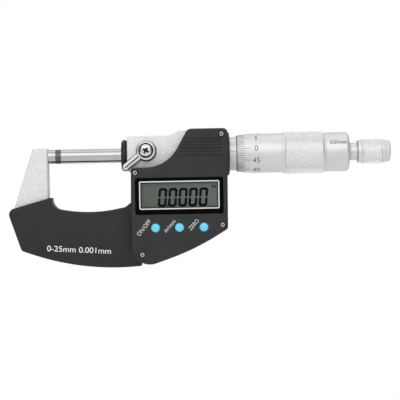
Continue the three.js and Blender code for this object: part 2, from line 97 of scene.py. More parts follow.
WINDOW = span("display_window", 0) + span("display_window", 2)
GLASS = span("lcd_panel", 0) + span("lcd_panel", 2)
LOCK = [sum(span("lock_screw", a)) / 2 for a in (0, 2)]
CAP = [sum(span("battery_cap", a)) / 2 for a in (0, 2)]
INDEX = 6.8  # degrees of the sleeve's index line above the front
DIVISION = 7.2  # degrees of one thimble division
HEAD_CROWN = 30  # radius of the head block's bulging sides
SEAL_FORWARD = 0.25  # how far the seal ring stands in front of its CAD collar
GAP = 0.15  # clearance of grips and covers round the frame
RIM = 0.52  # width of the white line round the glass


# ---------------------------------------------------------------- materials
class Nodes:
    """A procedural material: a principled shader with helpers that feed its sockets."""

    def __init__(self, name, roughness, metallic=0.0, coat=0.0, specular=0.5):
        self.material = bpy.data.materials.new(name)
        self.material.use_nodes = True
        self.tree = self.material.node_tree
        self.shader = self.tree.nodes["Principled BSDF"]
        self.set(Roughness=roughness, Metallic=metallic)
        self.shader.inputs["Coat Weight"].default_value = coat
        self.shader.inputs["Coat Roughness"].default_value = 0.08
        self.shader.inputs["Specular IOR Level"].default_value = specular
        self.coord = self.tree.nodes.new("ShaderNodeTexCoord").outputs["Object"]
        self.normal = None

    def set(self, **values):
        for name, value in values.items():
            self.shader.inputs[name].default_value = value

    def node(self, kind, **inputs):
        node = self.tree.nodes.new(kind)
        for name, value in inputs.items():
            socket = node.inputs[name.replace("_", " ")]
            if isinstance(value, bpy.types.NodeSocket):
                self.tree.links.new(value, socket)
            else:
                socket.default_value = value
        return node

    def noise(self, scale, detail=3.0, stretch=(1, 1, 1)):
        mapping = self.node("ShaderNodeMapping", Vector=self.coord)
        mapping.inputs["Scale"].default_value = stretch
        return self.node("ShaderNodeTexNoise", Vector=mapping.outputs[0], Scale=scale, Detail=detail,
                         Roughness=0.55).outputs["Fac"]

    def cells(self, scale, smooth=0.6):
        voronoi = self.tree.nodes.new("ShaderNodeTexVoronoi")
        voronoi.feature = "SMOOTH_F1"
        self.tree.links.new(self.coord, voronoi.inputs["Vector"])
        voronoi.inputs["Scale"].default_value = scale
        voronoi.inputs["Smoothness"].default_value = smooth
        return voronoi.outputs["Distance"]

    def span(self, factor, low, high, out_low, out_high):
        return self.node("ShaderNodeMapRange", Value=factor, From_Min=low, From_Max=high,
                         To_Min=out_low, To_Max=out_high).outputs[0]

    def colour(self, factor, dark, light, low=0.3, high=0.7):
        ramp = self.tree.nodes.new("ShaderNodeValToRGB")
        ramp.color_ramp.elements[0].position = low
        ramp.color_ramp.elements[1].position = high
        ramp.color_ramp.elements[0].color = (*dark, 1)
        ramp.color_ramp.elements[1].color = (*light, 1)
        self.tree.links.new(factor, ramp.inputs["Fac"])
        self.tree.links.new(ramp.outputs["Color"], self.shader.inputs["Base Color"])

    def rough(self, factor, low, high):
        out = self.span(factor, 0.25, 0.75, low, high)
        self.tree.links.new(out, self.shader.inputs["Roughness"])

    def bump(self, height, depth_mm, strength=1.0):
        bump = self.node("ShaderNodeBump", Height=height, Distance=depth_mm * MM, Strength=strength)
        if self.normal is not None:
            self.tree.links.new(self.normal, bump.inputs["Normal"])
        self.normal = bump.outputs["Normal"]
        self.tree.links.new(self.normal, self.shader.inputs["Normal"])


def grey(value):
    return (value, value, value)


def painted_casting():
    """Silver hammered enamel: soft pits about a millimetre across over an orange peel."""
    m = Nodes("hammered_enamel", 0.42, 0.1, coat=0.15)
    pits = m.cells(760, 0.7)
    m.colour(m.noise(900, 4), grey(0.655), grey(0.805), 0.25, 0.75)
    m.rough(m.noise(500, 2), 0.38, 0.54)
    m.bump(pits, 0.25, 0.6)
    m.bump(m.noise(2600, 2), 0.05, 0.5)
    return m.material


def turned_metal(name, dark, light, roughness, metallic, grain=0.012, lines=5200, spread=0.08):
    """Metal turned or ground about the X axis: fine rings, a slow cloudiness."""
    m = Nodes(name, roughness, metallic)
    rings = m.noise(lines, 3, (1, 0.03, 0.03))
    m.colour(m.noise(160, 3), dark, light)
    m.rough(rings, roughness - spread / 2, roughness + spread / 2)
    m.bump(rings, grain, 0.6)
    return m.material


def knurled_metal(name, radius, depth):
    """Satin chrome with painted shade in its knurl: measured from the X axis, the grooves are coloured
    darker than the crests.
    """
    m = Nodes(name, 0.46, 0.9)
    across = m.node("ShaderNodeVectorMath", Vector=m.coord)
    across.operation = "SUBTRACT"
    across.inputs[1].default_value = AXIS
    flat = m.node("ShaderNodeVectorMath", Vector=across.outputs[0])
    flat.operation = "MULTIPLY"
    flat.inputs[1].default_value = (0, 1, 1)
    length = m.node("ShaderNodeVectorMath", Vector=flat.outputs[0])
    length.operation = "LENGTH"
    # painted shade: the colour darkens from the knurl's crests down into its grooves
    painted_shade_height = m.span(length.outputs["Value"], (radius - depth) * MM, radius * MM, 0.0, 1.0)
    cloud = m.node("ShaderNodeMath", Value=painted_shade_height)
    cloud.operation = "MULTIPLY_ADD"
    cloud.inputs[1].default_value = 0.9
    m.tree.links.new(m.span(m.noise(700, 2), 0.3, 0.7, 0.0, 0.1), cloud.inputs[2])
    m.colour(cloud.outputs[0], grey(0.72), grey(0.99), 0.1, 0.6)
    m.rough(m.noise(900, 2), 0.42, 0.5)
    return m.material


def moulded(name, dark, light, low, high, grain=0.02, scale=5200, coat=0.0, specular=0.5):
    """Moulded plastic with a fine spark-eroded grain."""
    m = Nodes(name, (low + high) / 2, 0.0, coat=coat, specular=specular)
    fine = m.noise(scale, 2)
    m.colour(m.noise(120, 4), dark, light)
    m.rough(m.noise(90, 3), low, high)
    m.bump(fine, grain, 0.7)
    return m.material


def flat_metal(name, dark, light, low, high, metallic=1.0, scale=900, grain=0.01):
    """Metal with no direction to its finish."""
    m = Nodes(name, (low + high) / 2, metallic)
    m.colour(m.noise(scale * 0.3, 3), dark, light)
    m.rough(m.noise(scale, 2), low, high)
    m.bump(m.noise(scale * 4, 2), grain, 0.5)
    return m.material


CAST = painted_casting()
SATIN = turned_metal("satin_chrome", grey(0.65), grey(0.72), 0.48, 0.9)
KNURL = knurled_metal("knurled_chrome", KNURL_R, KNURL_DEPTH)
KNOB_KNURL = knurled_metal("knurled_knob", KNOB_R, KNOB_KNURL_DEPTH)
GROUND = turned_metal("ground_steel", grey(0.46), grey(0.53), 0.13, 1.0, 0.004, 7000, 0.05)
TIP = turned_metal("lapped_carbide", grey(0.11), grey(0.15), 0.3, 0.9, 0.006, 7000)
CHROME = flat_metal("polished_chrome", grey(0.66), grey(0.74), 0.05, 0.11, 1.0, 500, 0.003)
STEEL = flat_metal("plain_steel", grey(0.42), grey(0.52), 0.25, 0.38)
BRASS = flat_metal("machined_brass", (0.52, 0.36, 0.13), (0.62, 0.44, 0.18), 0.25, 0.4)
COPPER = flat_metal("copper_film", (0.55, 0.25, 0.1), (0.65, 0.32, 0.14), 0.3, 0.45)
GRIP = moulded("grip_shell", grey(0.015), grey(0.021), 0.44, 0.58, 0.03, 4200, specular=0.3)
SHELL = moulded("housing_shell", grey(0.019), grey(0.027), 0.42, 0.55, 0.02, 5200, specular=0.3)
GLOSS = moulded("gloss_black", grey(0.001), grey(0.002), 0.08, 0.14, 0.003, 3000, specular=0.03)
RUBBER = moulded("black_rubber", grey(0.008), grey(0.013), 0.5, 0.7, 0.03, 2600, specular=0.3)
WHITE = moulded("white_print", grey(0.70), grey(0.78), 0.35, 0.5, 0.004, 6000)
PRINT = moulded("white_lettering", grey(0.88), grey(0.95), 0.35, 0.5, 0.004, 6000)
# Black for printed scales and lettering, also used as painted shade: dark fills in gaps, grooves and
# recesses.
INK_AND_SHADE = moulded("black_fill", grey(0.006), grey(0.012), 0.5, 0.65, 0.004, 6000, specular=0.2)
BLUE = moulded("blue_button", (0.11, 0.63, 0.85), (0.15, 0.70, 0.93), 0.28, 0.4, 0.008, 4000, coat=0.15)
BOARD = moulded("solder_mask", (0.01, 0.09, 0.03), (0.02, 0.13, 0.05), 0.25, 0.4, 0.01, 3000)
CHIP = moulded("moulded_chip", grey(0.012), grey(0.02), 0.5, 0.65, 0.01, 6000)
LCD_INK = moulded("lcd_segments", (0.002, 0.004, 0.004), (0.004, 0.006, 0.006), 0.4, 0.5, 0.002, 6000,
                  specular=0.05)


def liquid_crystal():
    """Reflective LCD: grey-green under polished glass, with painted light that makes it a little lighter
    towards the right.
    """
    m = Nodes("liquid_crystal", 0.2, 0.0, specular=0.15)
    sep = m.node("ShaderNodeSeparateXYZ", Vector=m.coord)
    # painted light: the colour brightens from left to right across the glass
    across = m.span(sep.outputs["X"], AXIS.x + GLASS[0] * MM, AXIS.x + GLASS[1] * MM, 0.0, 1.0)
    cloud = m.noise(350, 3)
    mix = m.node("ShaderNodeMath", Value=across)
    mix.operation = "MULTIPLY_ADD"
    mix.inputs[1].default_value = 0.8
    m.tree.links.new(m.span(cloud, 0.3, 0.7, 0.0, 0.2), mix.inputs[2])
    m.colour(mix.outputs[0], (0.098, 0.116, 0.100), (0.122, 0.148, 0.128), 0.0, 1.0)
    m.bump(m.noise(9000, 1), 0.002, 0.3)
    return m.material


LCD = liquid_crystal()


# ---------------------------------------------------------------- shapes
def rounded(corners, grow=0.0, fine=0.12):
    """Points of an outline from corners (u, v, fillet), each fillet an arc, moved outwards by grow.

    The number of points doesn't depend on grow, so that outlines grown differently can be joined."""
    sharp = [Vector(c[:2]) for c in corners]
    n = len(sharp)
    area = sum(sharp[i].x * sharp[(i + 1) % n].y - sharp[(i + 1) % n].x * sharp[i].y for i in range(n))
    turn = 1 if area > 0 else -1

    def along(i):
        return (sharp[(i + 1) % n] - sharp[i % n]).normalized()

    def outwards(i):
        d = along(i)
        return Vector((d.y, -d.x)) * turn

    points = []
    for i in range(n):
        normal = (outwards(i - 1) + outwards(i)).normalized()
        corner = sharp[i] + normal * (grow / normal.dot(outwards(i)))
        fillet = corners[i][2] if len(corners[i]) > 2 else 0
        if not fillet:
            points.append(corner)
            continue
        a, b = along(i - 1), along(i)
        bend = math.atan2(a.x * b.y - a.y * b.x, a.dot(b))
        radius = max(0.0, fillet + (grow if turn * bend > 0 else -grow))
        start = corner - a * (radius * math.tan(abs(bend) / 2))
        side = Vector((-a.y, a.x)) * math.copysign(radius, bend)
        steps = max(2, math.ceil(abs(bend) / (0.04 if fillet > 20 else fine)))
        for k in range(steps + 1):
            points.append(start + side - Matrix.Rotation(bend * k / steps, 2) @ side)
    return points


def mesh_of(bm):
    bmesh.ops.remove_doubles(bm, verts=bm.verts, dist=1e-5)
    bmesh.ops.recalc_face_normals(bm, faces=bm.faces)
    mesh = bpy.data.meshes.new("shape")
    bm.to_mesh(mesh)
    bm.free()
    return mesh


def slab(corners, y0, y1, near=0.0, far=0.0, grow=0.0, rings=4):
    """An outline in XZ from y0 to y1, its near (y0) and far (y1) rims rounded by a radius."""
    stack = []
    for radius, y, side in ((near, y0, 1), (far, y1, -1)):
        steps = rings if radius else 0
        phis = [math.pi / 2 * k / rings for k in range(steps + 1)]
        level = [(y + side * radius * (1 - math.cos(phi)), radius * (1 - math.sin(phi))) for phi in phis]
        stack += level if side > 0 else level[::-1]
    bm = bmesh.new()
    loops = [[bm.verts.new((p.x, y, p.y)) for p in rounded(corners, grow - shrink)] for y, shrink in stack]
    for low, high in zip(loops, loops[1:]):
        for i in range(len(low)):
            j = (i + 1) % len(low)
            bm.faces.new((low[i], low[j], high[j], high[i]))
    bm.faces.new(loops[0])
    bm.faces.new(loops[-1][::-1])
    return mesh_of(bm)


def crowned(mesh, half, radius):
    """Bulges a slab's faces at y = -half and half, to a radius about lines along X."""
    bm = bmesh.new()
    bm.from_mesh(mesh)
    for z in range(-8, 12):
        bmesh.ops.bisect_plane(bm, geom=bm.verts[:] + bm.edges[:] + bm.faces[:],
                               plane_co=(0, 0, z + 0.25), plane_no=(0, 0, 1))
    for v in bm.verts:
        v.co.y *= 1 - v.co.z ** 2 / (2 * radius * half)
    return mesh_of(bm)


def lathe(corners, steps=96):
    """A turned solid about X from a closed profile of (x, radius, fillet)."""
    profile = rounded(corners, 0.0, 0.3)
    bm = bmesh.new()
    rings = []
    for p in profile:
        if p.y < 1e-6:
            rings.append([bm.verts.new((p.x, 0, 0))] * steps)
        else:
            rings.append([bm.verts.new((p.x, -p.y * math.cos(2 * math.pi * k / steps),
                                        p.y * math.sin(2 * math.pi * k / steps))) for k in range(steps)])
    for i, ring in enumerate(rings):
        after = rings[(i + 1) % len(rings)]
        for k in range(steps):
            loop = [ring[k], ring[(k + 1) % steps], after[(k + 1) % steps], after[k]]
            unique = list(dict.fromkeys(loop))
            if len(unique) > 2:
                bm.faces.new(unique)
    return mesh_of(bm)


def turned_post(corners, x, z, steps=64):
    """The same turned solid stood along Y through (x, z); the profile is (y, radius, fillet)."""
    mesh = lathe(corners, steps)
    mesh.transform(Matrix.Translation((x, 0, z)) @ Matrix.Rotation(math.pi / 2, 4, "Z"))
    return mesh


def ring(x0, x1, outer, inner=0.0, steps=64):
    return lathe([(x0, inner), (x0, outer), (x1, outer), (x1, inner)], steps)


def post(x, z, y0, y1, outer, inner=0.0, steps=48):
    return turned_post([(y0, inner), (y0, outer), (y1, outer), (y1, inner)], x, z, steps)


def block(x0, x1, y0, y1, z0, z1):
    bm = bmesh.new()
    bmesh.ops.create_cube(bm, size=1)
    bmesh.ops.transform(bm, verts=bm.verts, matrix=Matrix.Translation(
        ((x0 + x1) / 2, (y0 + y1) / 2, (z0 + z1) / 2)) @ Matrix.Diagonal((x1 - x0, y1 - y0, z1 - z0, 1)))
    return mesh_of(bm)


def turn_y(mesh, degrees, x, z):
    """Rotates a mesh drawn round the origin about Y and moves it to (x, z)."""
    mesh.transform(Matrix.Translation((x, 0, z)) @ Matrix.Rotation(math.radians(degrees), 4, "Y"))
    return mesh


def combine(first, *others, how="DIFFERENCE"):
    """Boolean of the first mesh with the others, one after another."""
    for other in others:
        a = bpy.data.objects.new("a", first)
        b = bpy.data.objects.new("b", other)
        for o in (a, b):
            bpy.context.scene.collection.objects.link(o)
        mod = a.modifiers.new("cut", "BOOLEAN")
        mod.operation = how
        mod.solver = "EXACT"
        mod.object = b
        evaluated = a.evaluated_get(bpy.context.evaluated_depsgraph_get())
        first = bpy.data.meshes.new_from_object(evaluated)
        for o in (a, b):
            bpy.data.objects.remove(o)
    return first


def piece(name, mesh, material, body, *nodes, slot=None, sharp=28):
    """Places a drawn mesh on the CAD as a finished piece that rides on a body."""
    bm = bmesh.new()
    bm.from_mesh(mesh)
    bmesh.ops.remove_doubles(bm, verts=bm.verts, dist=1e-5)
    for face in bm.faces:
        face.smooth = True
    for edge in bm.edges:
        if len(edge.link_faces) == 2:
            edge.smooth = edge.calc_face_angle(0) < math.radians(sharp)
    bmesh.ops.transform(bm, verts=bm.verts,
                        matrix=Matrix.Translation(AXIS) @ Matrix.Scale(MM, 4))
    out = bpy.data.meshes.new(name)
    bm.to_mesh(out)
    bm.free()
    obj = bpy.data.objects.new(name, out)
    bpy.context.scene.collection.objects.link(obj)
    obj.data.materials.append(material)
    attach(obj, body)
    if nodes:
        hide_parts(*nodes)
    return obj


def lettering(text, height, thick, squeeze=1.0, weight=0.0):
    """Plain sans-serif lettering as a mesh in XY, centred, cap height given; weight moves its edges out."""
    curve = bpy.data.curves.new("text", "FONT")
    curve.body = text
    curve.size = height / 0.7
    curve.offset = weight * height
    curve.extrude = thick / 2
    curve.align_x = "CENTER"
    obj = bpy.data.objects.new("text", curve)
    bpy.context.scene.collection.objects.link(obj)
    dg = bpy.context.evaluated_depsgraph_get()
    mesh = bpy.data.meshes.new_from_object(obj.evaluated_get(dg))
    bpy.data.objects.remove(obj)
    mesh.transform(Matrix.Translation((0, -height / 2, 0)))
    mesh.transform(Matrix.Diagonal((squeeze, 1, 1, 1)))
    return mesh


def merged(meshes):
    bm = bmesh.new()
    for mesh in meshes:
        bm.from_mesh(mesh)
    return mesh_of(bm)


def face_text(text, x, z, height, tilt, y, squeeze=1.0, weight=0.0):
    """Lettering on a face that looks to -Y, centred at (x, z), tilted up by degrees."""
    mesh = lettering(text, height, 0.05, squeeze, weight)
    mesh.transform(Matrix.Translation((x, y, z)) @ Matrix.Rotation(math.radians(-tilt), 4, "Y")
                   @ Matrix.Rotation(math.pi / 2, 4, "X"))
    return mesh


def wrapped(mesh, radius, degrees, x):
    """Bends an XY mesh round the X axis, its Y up the circumference, at an angle above the front."""
    bm = bmesh.new()
    bm.from_mesh(mesh)
    for i in range(-12, 13):
        bmesh.ops.bisect_plane(bm, geom=bm.verts[:] + bm.edges[:] + bm.faces[:],
                               plane_co=(0, i * 0.25, 0), plane_no=(0, 1, 0))
    for v in bm.verts:
        r = radius + v.co.z
        phi = math.radians(degrees) + v.co.y / radius
        v.co = (x + v.co.x, -r * math.cos(phi), r * math.sin(phi))
    return mesh_of(bm)


def stroke(x0, x1, r0, r1, degrees, width):
    """A filled graduation line along X on a turned surface that goes from radius r0 to r1."""
    deep, proud = 0.05, 0.015
    bm = bmesh.new()
    corners = []
    for x, r in ((x0, r0), (x1, r1)):
        for depth in (-deep, proud):
            for side in (-0.5, 0.5):
                phi = math.radians(degrees) + side * width / r
                corners.append(bm.verts.new((x, -(r + depth) * math.cos(phi), (r + depth) * math.sin(phi))))
    a = corners
    for f in ((0, 1, 3, 2), (4, 6, 7, 5), (0, 4, 5, 1), (2, 3, 7, 6), (0, 2, 6, 4), (1, 5, 7, 3)):
        bm.faces.new([a[i] for i in f])
    return mesh_of(bm)


def knurled(profile_in, x0, x1, radius, around, rows, depth, edge):
    """A closed turned ring whose outside carries a diamond knurl; profile_in is its inside (x, r).

    The diamonds' crests are flat, and the knurl fades out over edge at both ends."""
    per = 8  # points across one diamond
    n, m = around * per, rows * per
    bm = bmesh.new()
    grid = []
    for j in range(m + 1):
        t = j / m
        x = x0 + (x1 - x0) * t
        fade = min(1.0, (x - x0) / edge, (x1 - x) / edge)
        loop = []
        for k in range(n):
            u, v = k / per, t * rows
            a = abs(((u + v) % 1) - 0.5) * 2
            b = abs(((u - v) % 1) - 0.5) * 2
            height = min(1.0, 1.5 * min(a, b))
            r = radius - depth * (1 - height) - (1 - fade) * edge * 0.8
            phi = 2 * math.pi * k / n
            loop.append(bm.verts.new((x, -r * math.cos(phi), r * math.sin(phi))))
        grid.append(loop)
    for x, r in profile_in:
        grid.append([bm.verts.new((x, -r * math.cos(2 * math.pi * k / n),
                                   r * math.sin(2 * math.pi * k / n))) for k in range(n)])
    for j, low in enumerate(grid):
        high = grid[(j + 1) % len(grid)]
        for k in range(n):
            bm.faces.new((low[k], low[(k + 1) % n], high[(k + 1) % n], high[k]))
    return mesh_of(bm)


# ---------------------------------------------------------------- outlines (x, z, fillet)
HOUSING = [
    (32.5, -52.75, 8.5), (61.7, -42.7, 110), (76.2, -33.8, 1.6), (76.4, -10.3, 0.2), (76.8, -9.8, 0.2),
    (76.8, 11.2, 2.3), (58.85, 11.2, 3), (49.3, -5.9, 16.4), (33.2, -5.9, 1.3),
]
BOW = [
    (ARM_X, 3.8, 0.7), (-11.3, 3.8, 1.2), (-20.9, -26, 2), (-15.9, -41.4, 2), (11.3, -50.8, 90),
    (35.3, -48.6, 1.5), (39.5, -44.6, 2), (46, -44.9, 3), (60, -39.6, 2), (60, -21, 2), (74.6, -21, 1),
    (74.6, 8.8, 0.8), (71, 8.8, 0.8), (71, -9.8, 1), (60.2, -9.8, 1),
    (60.2, 9), (58.8, 9), (58.8, 10.8), (55.2, 10.8, 2), (50.6, 8.5, 6), (31.4, 8.5, 0.8),
    (31.4, -7.2, 1.5), (35.2, -8.8, 1), (35.2, -20.6, 1), (30.2, -24.9, 3), (14, -27.9, 66),
    (ARM_X, -24.6, 5.5),
]
HEAD = [
    (60.2, 9), (58.8, 9), (58.8, 10.8), (55.2, 10.8, 2), (50.6, 8.5, 6), (31.4, 8.5, 0.8),
    (31.4, -7.2, 1.5), (36, -9, 1), (60.2, -9),
]
TAIL = [(74.6, 8.8, 0.5), (71, 8.8, 0.5), (71, -9.8), (74.6, -9.8)]
GRIP_EDGE = [
    (-3.25, -18.5, 0.25), (-23.15, -23.98, 2.9), (-16.9, -42.35, 2.2), (11.3, -52.1, 115),
    (38.5, -49.9, 1.5), (38.5, -16.5), (30.2, -23.35, 2), (14, -26.5, 66), (-3.25, -23.3, 5),
]


def frame_room(gap):
    """The frame's own space with a clearance, for cutting the covers."""
    parts = [slab(BOW, -BOW_Y - gap, BOW_Y + gap, grow=gap),
             slab(HEAD, -HEAD_Y - gap, HEAD_Y + gap, grow=gap + 0.01),
             slab(TAIL, -HEAD_Y - gap, HEAD_Y + gap, grow=gap + 0.01)]
    return combine(*parts, how="UNION")


# ---------------------------------------------------------------- frame and grips
def build_frame():
    near = slab(BOW, -BOW_Y, BOW_Y, 0.6, 0.6)
    head = crowned(slab(HEAD, -HEAD_Y, HEAD_Y, 0.7, 0.7, grow=0.01), HEAD_Y, HEAD_CROWN)
    tail = slab(TAIL, -HEAD_Y, HEAD_Y, 0.4, 0.4, grow=0.01)
    body = combine(near, head, tail, how="UNION")
    x0, z0 = LOCK
    cuts = [ring(-10.6, ARM_X + 1, 3.3), ring(30.6, 71, 3.65), ring(30.6, 36.6, 4.6), ring(46, 61.2, 4.6),
            ring(70, 75.6, 5.6), post(x0, z0, -16, -1, 2.75),
            block(CAP[0] + 6.9, CAP[0] + 8.2, -6, 6, CAP[1] - 2.3, CAP[1] + 2.3)]
    cuts += [post(x, z, -10, 10, 2.4) for x, z in SCREWS]
    piece("c_frame", combine(body, *cuts), CAST, "frame_body", "frame", slot="cast_paint")
    piece("anvil_shaft", lathe([(-10.5, 0), (-10.5, SPINDLE_R), (-1.3, SPINDLE_R), (-1.3, 0)]), GROUND,
          "frame_body", "anvil", slot="steel")
    piece("anvil_carbide", lathe([(-1.3, 0), (-1.3, 3.24), (0, 3.24, 0.08), (0, 0)]), TIP,
          "frame_body", "anvil_tip", slot="carbide")


def build_grips():
    room = frame_room(GAP)
    housing = slab(HOUSING, -26, 26, grow=0.25)
    keep = combine(block(-30, 32.4, -20, 20, -60, 0), block(30, 36.9, -20, 20, -60, -40), how="UNION")
    for name, node, y0, y1, near, far in (("grip_shell_front", "grip_front", -GRIP_Y, -0.05, 0.9, 0),
                                          ("grip_shell_back", "grip_back", 0.05, GRIP_Y, 0, 0.9)):
        shell = combine(slab(GRIP_EDGE, y0, y1, near, far), room, housing)
        piece(name, combine(shell, keep, how="INTERSECT"), GRIP, "frame_body", node, slot="dark_plastic")
    piece("range_lettering", face_text("0-25mm 0.001mm", 9.1, -42.15, 2.55, -3.5, -GRIP_Y, 1.08), PRINT,
          "frame_body", slot="white_print")


# ---------------------------------------------------------------- housing
def cover(side):
    """A cover with its cavity, screw bosses and room for the frame; side -1 is the front."""
    def pair(a, b):
        return (-b, -a) if side < 0 else (a, b)
    depth = -FACE_Y if side < 0 else BACK_Y
    rim = (1.0, 0.0) if side < 0 else (0.0, 1.0)
    shell = slab(HOUSING, *pair(0.05, depth), *rim)
    shell = combine(shell, slab(HOUSING, *pair(-1, depth - 1.8), grow=-1.5), frame_room(GAP),
                    ring(74, 80, 5.8))
    bosses = [post(x, z, *pair(0.05, depth - 1.7), 2.1) for x, z in SCREWS]
    inside = slab(HOUSING, *pair(0.06, depth - 1.0), grow=-0.02)
    bosses = combine(combine(*bosses, how="UNION"), inside, how="INTERSECT")
    return combine(shell, bosses, how="UNION")


def rib_cuts():
    """Fine finger grooves across the upper front of the housing, following its curved side."""
    end, fillet, deep = 74.2, 0.14, 0.35
    grooves = ((6.6, 58.0, 0.15), (5.2, 57.2, 0.27), (3.8, 56.6, 0.15), (2.4, 55.6, 0.27),
               (0.9, 54.6, 0.15), (-0.8, 53.2, 0.27))  # height, left end, half width
    return [slab([(x, z - half, fillet), (end, z - half, fillet), (end, z + half, fillet),
                  (x, z + half, fillet)], FACE_Y - 1, FACE_Y + deep) for z, x, half in grooves]


def cross_recess(radius, width, y0, y1, x, z, degrees):
    """The cross of a screw's driver recess, as a solid to cut with, or to fill with painted shade so the
    recess looks dark.
    """
    a = block(-radius, radius, y0, y1, -width / 2, width / 2)
    b = block(-width / 2, width / 2, y0, y1, -radius, radius)
    return turn_y(combine(a, b, how="UNION"), degrees, x, z)


def build_housing():
    wx0, wx1, wz0, wz1 = WINDOW
    gx0, gx1, gz0, gz1 = GLASS
    cuts = [slab([(wx0 - 0.1, wz0 - 0.1, 1.1), (wx1 + 0.1, wz0 - 0.1, 1.1), (wx1 + 0.1, wz1 + 0.1, 1.1),
                  (wx0 - 0.1, wz1 + 0.1, 1.1)], FACE_Y - 1, FACE_Y + 1.3),
            block(gx0 - 0.2, gx1 + 0.2, FACE_Y - 1, 0, gz0 - 0.2, gz1 + 0.2)]
    cuts += [post(x, BUTTON_Z, FACE_Y - 1, -5, 2.3) for x in BUTTONS.values()]
    cuts += [turned_post([(FACE_Y - 1, 0), (FACE_Y - 1, 1.6), (FACE_Y + 0.2, 1.4), (FACE_Y + 1.6, 1.4),
                          (FACE_Y + 1.6, 0.9), (1, 0.9), (1, 0)], x, z) for x, z in SCREWS]
    cuts += rib_cuts()
    piece("housing_cover_front", combine(cover(-1), *cuts), SHELL, "frame_body", "housing_front",
          slot="dark_plastic")

    x, z = CAP
    back = combine(cover(1), post(x, z, BOW_Y + 0.2, BACK_Y - 0.5, 8.6), how="UNION")
    cuts = [post(x, z, 0, 11.2, 6.15), post(x, z, 10.9, 26, 7.4),
            block(x + 5, x + 8.4, 0, 8.2, z - 2.3, z + 2.3)]
    cuts += [post(sx, sz, -1, 5.2, 0.9) for sx, sz in SCREWS]
    piece("housing_cover_back", combine(back, *cuts), SHELL, "frame_body", "housing_back",
          slot="dark_plastic")

    piece("barrel_collar", lathe([(76.95, 5.8), (76.95, 9.65), (77.55, 9.6, 0.55), (77.55, 5.8)], 120),
          SHELL, "frame_body", "end_collar", slot="dark_plastic")
    for i, (sx, sz) in enumerate(SCREWS):
        y = FACE_Y + 0.3
        screw = turned_post([(y, 0), (y, 1.12, 0.3), (y + 0.9, 1.12), (y + 0.9, 0.75), (5, 0.75), (5, 0)],
                            sx, sz)
        angle = (40, 25, 50, 15)[i]
        cut = cross_recess(0.66, 0.34, y - 1, y + 0.75, sx, sz, angle)
        piece(f"housing_screw_{i + 1}", combine(screw, cut), STEEL, "frame_body",
              f"cover_screw_{i + 1}", slot="satin_chrome")
        # painted shade: a dark cross set in the driver recess so it reads as a shaded hollow
        recess_shade = cross_recess(0.64, 0.32, y + 0.25, y + 0.72, sx, sz, angle)
        piece(f"screw_recess_shade_{i + 1}", recess_shade, INK_AND_SHADE, "frame_body", slot="gloss_black")


# ---------------------------------------------------------------- display and buttons
def segment(x, z, length, thick, upright, slant):
    """One bar of a digit with pointed ends, sheared by the digit's slant."""
    h, t = length / 2, thick / 2
    shape = [(-h, 0), (-h + t, t), (h - t, t), (h, 0), (h - t, -t), (-h + t, -t)]
    if upright:
        shape = [(b, a) for a, b in shape]
    return [(x + a + (z + b) * slant, z + b) for a, b in shape]


def digit(x, z0, width, height, thick, slant, y):
    """A zero: the six outer bars of a seven-bar digit, from the top clockwise."""
    w, h = width - thick, height - thick
    gap, waist = 0.12, 0.3
    side, middle = h / 2 - waist, h / 4 + waist / 2
    out = []
    for bx, bz, length, upright in (
            (0, h / 2, w, False), (w / 2, middle, side, True), (w / 2, -middle, side, True),
            (0, -h / 2, w, False), (-w / 2, -middle, side, True), (-w / 2, middle, side, True)):
        bar = segment(bx, bz, length + thick * 0.55 - gap, thick, upright, slant)
        out.append(slab([(u + x, v + z0) for u, v in bar], y - 0.03, y + 0.02))
    return out


def inset(margin, fillet, y0, y1):
    """The glass outline moved inwards by a margin, as a slab."""
    x0, x1, z0, z1 = GLASS
    return slab([(x0 + margin, z0 + margin, fillet), (x1 - margin, z0 + margin, fillet),
                 (x1 - margin, z1 - margin, fillet), (x0 + margin, z1 - margin, fillet)], y0, y1)


